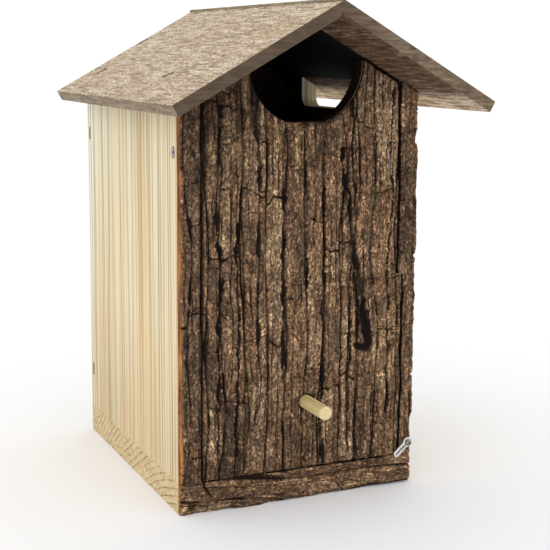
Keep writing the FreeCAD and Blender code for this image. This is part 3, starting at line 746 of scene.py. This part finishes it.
def front_bark():
    low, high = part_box("door_bark")[0] / MM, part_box("door_bark")[1] / MM
    x, z = door_grid(low, high)
    depth, split, tone, light = relief(x, z, UPRIGHT_SEED)
    depth, split = cracked(x, z, depth, split, low, high, UPRIGHT_SEED)
    patch = sunken_flake(x, z)
    depth = depth + 1.8 * patch
    split = split + 1.2 * patch
    tone = tone * (1 - patch) + 0.1 * patch
    depth = worn(x, z, depth, 61, reach=1.1)
    # Painted shade beside the door's upright seams, over a worn drop.
    beside = np.minimum(x - x[:, :1], x[:, -1:] - x)
    split = split + SEAM_SHADE * np.exp(-(beside / SEAM_REACH) ** 2)
    depth = depth + SEAM_DROP * np.exp(-(beside / SEAM_REACH) ** 2)
    # Ring sunk round the peg and darkened with painted shade.
    socket = np.hypot(x - PEG.x, z - PEG.z) < PEG_RADIUS + PEG_GAP
    depth = np.where(socket, np.maximum(depth, 5.5), depth)
    split = np.where(socket, 4.5, split)
    depth = np.clip(depth, SHALLOWEST, DEEPEST)
    return bark_piece("front_bark", x, z, depth, split, tone, door_light(x, z, light), x * 0, "door")


def side_grid(low, high, top):
    across = steps(low.x, high.x, FINE)
    share = steps(0, 1, FINE * 1.2 / (high.z - low.z))
    x = np.tile(across, (len(share), 1))
    z = low.z + share[:, None] * (top(across)[None] - low.z)
    return x, z


def left_bark():
    low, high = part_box("left_edge_bark")[0] / MM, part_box("left_edge_bark")[1] / MM
    x, z = side_grid(low, high, roof_line)
    depth, split, tone, light = relief(x, z, UPRIGHT_SEED)
    outer = np.exp(-((x - low.x) / 2.1) ** 2)
    depth = worn(x, z, depth * 0.8 + 0.3, 62) + 3.4 * outer * (0.6 + 0.6 * noise(x, z / 14, 63))
    depth = np.clip(pinned(x, z, depth, LEFT_PINS), SHALLOWEST, DEEPEST)
    cut = smooth(0.3, 0.62, outer + 0.4 * (noise(x / 1.5, z / 12, 64) - 0.5))
    return bark_piece("left_bark", x, z, depth, split * (1 - cut), tone * 0.7, light - 0.115, cut, "box",
                      fresh=1.0 * (x <= x[:, :1]))


def right_bark():
    low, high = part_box("right_edge_bark")[0] / MM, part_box("right_edge_bark")[1] / MM
    seam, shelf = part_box("door_bark")[1].x / MM + SEAM_GAP, LAP_TOP + LAP_GAP
    x, z = side_grid(low, high, roof_line)
    shift = (seam - low.x) * (1 - smooth(shelf - LAP_BLEND, shelf + LAP_BLEND, z))
    x = x + shift * (high.x - x) / (high.x - low.x)
    chips = EDGE_CHIP * smooth(0.88, 0.99, noise(z / 7, z * 0, 73))
    ragged = 0.2 * fractal(z / 3, z * 0, 71) + chips
    x = x - ragged * ((x - low.x) / (high.x - low.x)) ** 3
    depth, split, tone, light = relief(x, z, UPRIGHT_SEED)
    depth = np.clip(pinned(x, z, worn(x, z, depth * 0.7, 65), RIGHT_PINS), SHALLOWEST, DEEPEST)
    return bark_piece("right_bark", x, z, depth, split * 0.7, tone, light - 0.03, x * 0, "box",
                      fresh=1.0 * (x >= x[:, -1:]))


def foot_bark():
    low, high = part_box("base_bark")[0] / MM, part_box("base_bark")[1] / MM
    across, up = steps(low.x, high.x, FINE), steps(0, 1, FINE / (high.z - low.z))
    top = high.z - 0.3 * fractal(across / 16, across * 0, 72)
    x = np.tile(across, (len(up), 1))
    z = low.z + up[:, None] * (top[None] - low.z)
    depth, split, tone, light = relief(z * 0.9 + 200 + (x - low.x) * 0.06, x, LYING_SEED)
    depth = np.clip(pinned(x, z, worn(x, z, depth * 0.85, 66), BASE_PINS), SHALLOWEST, DEEPEST)
    cut = smooth(0.3, 0.6, np.exp(-(np.minimum(x - low.x, high.x - x) / 1.1) ** 2))
    return bark_piece("foot_bark", x, z, depth, split * 0.7, tone * 0.5 + 0.25, light - 0.07, cut, "box",
                      FOOT_BARK, 1.0 * ((x <= x[:, :1]) | (x >= x[:, -1:])))


front_bark()
left_bark()
right_bark()
foot_bark()


# ---------------------------------------------------------------- floor, light and camera

def studio_floor():
    """Plain pale floor that runs far behind the object."""
    size = 12.0
    mesh = bpy.data.meshes.new("studio_floor")
    corners = [(-size, -size, 0), (size, -size, 0), (size, size, 0), (-size, size, 0)]
    mesh.from_pydata(corners, [], [(0, 1, 2, 3)])
    floor = bpy.data.objects.new("studio_floor", mesh)
    floor.location.z = -0.0002
    scene.collection.objects.link(floor)
    s = Shader("studio_floor")
    tint = s.ramp(s.noise((3, 3, 3), detail=1), (0.3, (0.86, 0.86, 0.87)), (0.7, (0.87, 0.87, 0.88)))
    mesh.materials.append(s.finish(tint, 0.9, gloss=0.0))


def lights():
    world = bpy.data.worlds.new("studio")
    world.use_nodes = True
    background = world.node_tree.nodes["Background"]
    background.inputs["Color"].default_value = (1, 1, 1, 1)
    background.inputs["Strength"].default_value = 1.06
    scene.world = world
    key = bpy.data.lights.new("key", "SUN")
    key.energy = 0.55
    key.angle = math.radians(80)
    light = bpy.data.objects.new("key", key)
    light.rotation_euler = Vector((0.65, 0.4, -0.9)).to_track_quat("-Z", "Y").to_euler()
    scene.collection.objects.link(light)


def camera():
    """Same viewing angle and framing as the reference view."""
    data = bpy.data.cameras.new("camera")
    data.sensor_width = 36
    data.lens = 80.19
    data.shift_y = -0.05
    eye = bpy.data.objects.new("camera", data)
    yaw, pitch, roll = (math.radians(angle) for angle in (24.29, 9.05, 0.4))
    turn = (Matrix.Rotation(-yaw, 4, "Z") @ Matrix.Rotation(QUARTER - pitch, 4, "X")
            @ Matrix.Rotation(roll, 4, "Z"))
    eye.matrix_world = Matrix.Translation((-0.3716, -0.8895, 0.323)) @ turn
    scene.collection.objects.link(eye)
    scene.camera = eye


studio_floor()
lights()
camera()
scene.view_settings.view_transform = "Standard"
